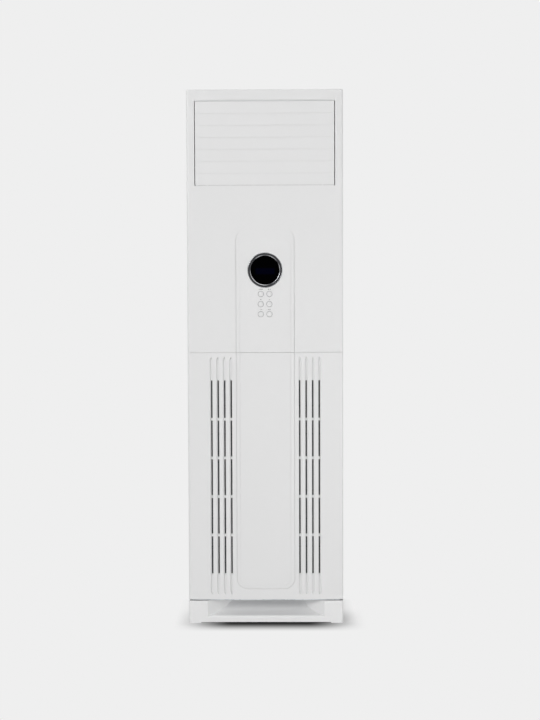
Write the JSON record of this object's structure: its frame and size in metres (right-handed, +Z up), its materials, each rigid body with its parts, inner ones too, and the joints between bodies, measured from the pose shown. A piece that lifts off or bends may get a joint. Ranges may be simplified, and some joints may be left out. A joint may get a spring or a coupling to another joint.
{
  "type": "floor standing air conditioner",
  "caption": "Tall floor standing air conditioner: column cabinet with louvred outlet at the top, round display with buttons, and slotted tilting intake panel over a recessed base.",
  "frame": {"origin": "middle of the bounding box on the floor", "axes": "+Z up, -Y out of the front, +X to the viewer's right"},
  "size_m": [0.51, 0.315, 1.75],
  "materials": {
    "panel_white": "satin white moulded plastic",
    "louver_white": "satin white moulded plastic",
    "casing_white": "white powder coat, fine texture",
    "base_white": "matt white moulded plastic",
    "zinc_sheet": "galvanised sheet",
    "ring_chrome": "bright chrome plating",
    "lens_black": "black gloss window",
    "button_white": "satin white",
    "housing_grey": "grey moulded plastic",
    "filter_black": "dark net in a plastic frame",
    "duct_white": "white moulded plastic",
    "vane_grey": "light grey moulded plastic",
    "stepper_zinc": "zinc-plated can",
    "fan_grey": "grey glass-filled plastic",
    "shaft_steel": "ground steel",
    "motor_black": "black enamel",
    "scroll_grey": "grey moulded plastic",
    "fin_aluminium": "pressed aluminium fins",
    "tube_copper": "drawn copper",
    "nut_brass": "machined brass",
    "pan_white": "white moulded plastic",
    "hose_grey": "grey hose",
    "grommet_rubber": "black rubber",
    "board_green": "green solder mask",
    "component_black": "moulded components",
    "terminal_white": "ivory terminal block",
    "liner_foam": "closed-cell foam",
    "screw_zinc": "zinc-plated steel"
  },
  "bodies": {
    "cabinet": {"base_plinth": "base_white", "bottom_plate": "zinc_sheet", "side_panel_left": "casing_white", "side_panel_right": "casing_white", "rear_panel": "casing_white", "top_cover": "panel_white", "upper_front_panel": "panel_white", "wall_tie": "zinc_sheet", "case_screws": "screw_zinc", "pipe_grommet": "grommet_rubber", "plenum_liner": "liner_foam", "display_ring": "ring_chrome", "display_lens": "lens_black", "display_housing": "housing_grey", "display_board": "board_green", "outlet_frame": "duct_white", "louver_motor": "stepper_zinc", "vane_motor": "stepper_zinc", "fan_bulkhead": "zinc_sheet", "fan_scroll": "scroll_grey", "motor_bracket": "zinc_sheet", "fan_motor": "motor_black", "evaporator_fins": "fin_aluminium", "tube_sheets": "zinc_sheet", "coil_tubes": "tube_copper", "refrigerant_pipes": "tube_copper", "flare_nuts": "nut_brass", "drain_pan": "pan_white", "drain_hose": "hose_grey", "control_box": "zinc_sheet", "control_box_lid": "zinc_sheet", "main_board": "board_green", "board_components": "component_black", "terminal_block": "terminal_white"},
    "intake": {"intake_panel": "panel_white"},
    "filter_body_left": {"filter_left": "filter_black"},
    "filter_body_right": {"filter_right": "filter_black"},
    "fan": {"fan_wheel": "fan_grey", "motor_shaft": "shaft_steel"},
    "louver_body_4": {"louver_4": "louver_white"},
    "louver_body_1": {"louver_1": "louver_white"},
    "louver_body_2": {"louver_2": "louver_white"},
    "louver_body_3": {"louver_3": "louver_white"},
    "louver_body_5": {"louver_5": "louver_white"},
    "louver_body_6": {"louver_6": "louver_white"},
    "louver_body_7": {"louver_7": "louver_white"},
    "louver_link_body": {"louver_link": "housing_grey"},
    "vane_body_3": {"vane_3": "vane_grey"},
    "vane_body_1": {"vane_1": "vane_grey"},
    "vane_body_2": {"vane_2": "vane_grey"},
    "vane_body_4": {"vane_4": "vane_grey"},
    "vane_body_5": {"vane_5": "vane_grey"},
    "vane_body_6": {"vane_6": "vane_grey"},
    "vane_link_body": {"vane_link": "housing_grey"},
    "button_body_1": {"button_1": "button_white"},
    "button_body_2": {"button_2": "button_white"},
    "button_body_3": {"button_3": "button_white"},
    "button_body_4": {"button_4": "button_white"},
    "button_body_5": {"button_5": "button_white"},
    "button_body_6": {"button_6": "button_white"}
  },
  "joints": [
    {"name": "intake_tilt", "type": "hinge", "parent": "cabinet", "child": "intake", "pos_m": [0, -0.1455, 0.086], "axis": [1, 0, 0], "range_deg": [0, 25]},
    {"name": "filter_left_slide", "type": "slide", "parent": "intake", "child": "filter_body_left", "axis": [0, 0, 1], "range_m": [0, 0.6]},
    {"name": "filter_right_slide", "type": "slide", "parent": "intake", "child": "filter_body_right", "axis": [0, 0, 1], "range_m": [0, 0.6]},
    {"name": "fan_spin", "type": "hinge", "parent": "cabinet", "child": "fan", "pos_m": [0, 0, 0.36], "axis": [0, 1, 0], "continuous": true},
    {"name": "louver_4_turn", "type": "hinge", "parent": "cabinet", "child": "louver_body_4", "pos_m": [0, -0.1452, 1.5763], "axis": [1, 0, 0], "range_deg": [0, 85]},
    {"name": "louver_1_turn", "type": "hinge", "parent": "cabinet", "child": "louver_body_1", "pos_m": [0, -0.1452, 1.69253], "axis": [1, 0, 0], "range_deg": [0, 85]},
    {"name": "louver_2_turn", "type": "hinge", "parent": "cabinet", "child": "louver_body_2", "pos_m": [0, -0.1452, 1.65379], "axis": [1, 0, 0], "range_deg": [0, 85]},
    {"name": "louver_3_turn", "type": "hinge", "parent": "cabinet", "child": "louver_body_3", "pos_m": [0, -0.1452, 1.61504], "axis": [1, 0, 0], "range_deg": [0, 85]},
    {"name": "louver_5_turn", "type": "hinge", "parent": "cabinet", "child": "louver_body_5", "pos_m": [0, -0.1452, 1.53756], "axis": [1, 0, 0], "range_deg": [0, 85]},
    {"name": "louver_6_turn", "type": "hinge", "parent": "cabinet", "child": "louver_body_6", "pos_m": [0, -0.1452, 1.49881], "axis": [1, 0, 0], "range_deg": [0, 85]},
    {"name": "louver_7_turn", "type": "hinge", "parent": "cabinet", "child": "louver_body_7", "pos_m": [0, -0.1452, 1.46007], "axis": [1, 0, 0], "range_deg": [0, 85]},
    {"name": "louver_link_turn", "type": "hinge", "parent": "louver_body_4", "child": "louver_link_body", "pos_m": [-0.2375, -0.1312, 1.5763], "axis": [1, 0, 0], "range_deg": [-85, 0]},
    {"name": "vane_3_turn", "type": "hinge", "parent": "cabinet", "child": "vane_body_3", "pos_m": [-0.038, -0.103, 1.57725], "axis": [0, 0, 1], "range_deg": [-40, 40]},
    {"name": "vane_1_turn", "type": "hinge", "parent": "cabinet", "child": "vane_body_1", "pos_m": [-0.19, -0.103, 1.57725], "axis": [0, 0, 1], "range_deg": [-40, 40]},
    {"name": "vane_2_turn", "type": "hinge", "parent": "cabinet", "child": "vane_body_2", "pos_m": [-0.114, -0.103, 1.57725], "axis": [0, 0, 1], "range_deg": [-40, 40]},
    {"name": "vane_4_turn", "type": "hinge", "parent": "cabinet", "child": "vane_body_4", "pos_m": [0.038, -0.103, 1.57725], "axis": [0, 0, 1], "range_deg": [-40, 40]},
    {"name": "vane_5_turn", "type": "hinge", "parent": "cabinet", "child": "vane_body_5", "pos_m": [0.114, -0.103, 1.57725], "axis": [0, 0, 1], "range_deg": [-40, 40]},
    {"name": "vane_6_turn", "type": "hinge", "parent": "cabinet", "child": "vane_body_6", "pos_m": [0.19, -0.103, 1.57725], "axis": [0, 0, 1], "range_deg": [-40, 40]},
    {"name": "vane_link_turn", "type": "hinge", "parent": "vane_body_3", "child": "vane_link_body", "pos_m": [-0.038, -0.085, 1.57725], "axis": [0, 0, 1], "range_deg": [-40, 40]},
    {"name": "button_1_press", "type": "slide", "parent": "cabinet", "child": "button_body_1", "axis": [0, 1, 0], "range_m": [0, 0.0008], "stiffness_N_per_m": 800},
    {"name": "button_2_press", "type": "slide", "parent": "cabinet", "child": "button_body_2", "axis": [0, 1, 0], "range_m": [0, 0.0008], "stiffness_N_per_m": 800},
    {"name": "button_3_press", "type": "slide", "parent": "cabinet", "child": "button_body_3", "axis": [0, 1, 0], "range_m": [0, 0.0008], "stiffness_N_per_m": 800},
    {"name": "button_4_press", "type": "slide", "parent": "cabinet", "child": "button_body_4", "axis": [0, 1, 0], "range_m": [0, 0.0008], "stiffness_N_per_m": 800},
    {"name": "button_5_press", "type": "slide", "parent": "cabinet", "child": "button_body_5", "axis": [0, 1, 0], "range_m": [0, 0.0008], "stiffness_N_per_m": 800},
    {"name": "button_6_press", "type": "slide", "parent": "cabinet", "child": "button_body_6", "axis": [0, 1, 0], "range_m": [0, 0.0008], "stiffness_N_per_m": 800}
  ],
  "couplings": [
    {"joint": "louver_1_turn", "follows": "louver_4_turn", "ratio": 1},
    {"joint": "louver_2_turn", "follows": "louver_4_turn", "ratio": 1},
    {"joint": "louver_3_turn", "follows": "louver_4_turn", "ratio": 1},
    {"joint": "louver_5_turn", "follows": "louver_4_turn", "ratio": 1},
    {"joint": "louver_6_turn", "follows": "louver_4_turn", "ratio": 1},
    {"joint": "louver_7_turn", "follows": "louver_4_turn", "ratio": 1},
    {"joint": "louver_link_turn", "follows": "louver_4_turn", "ratio": -1},
    {"joint": "vane_1_turn", "follows": "vane_3_turn", "ratio": 1},
    {"joint": "vane_2_turn", "follows": "vane_3_turn", "ratio": 1},
    {"joint": "vane_4_turn", "follows": "vane_3_turn", "ratio": 1},
    {"joint": "vane_5_turn", "follows": "vane_3_turn", "ratio": 1},
    {"joint": "vane_6_turn", "follows": "vane_3_turn", "ratio": 1},
    {"joint": "vane_link_turn", "follows": "vane_3_turn", "ratio": -1}
  ]
}
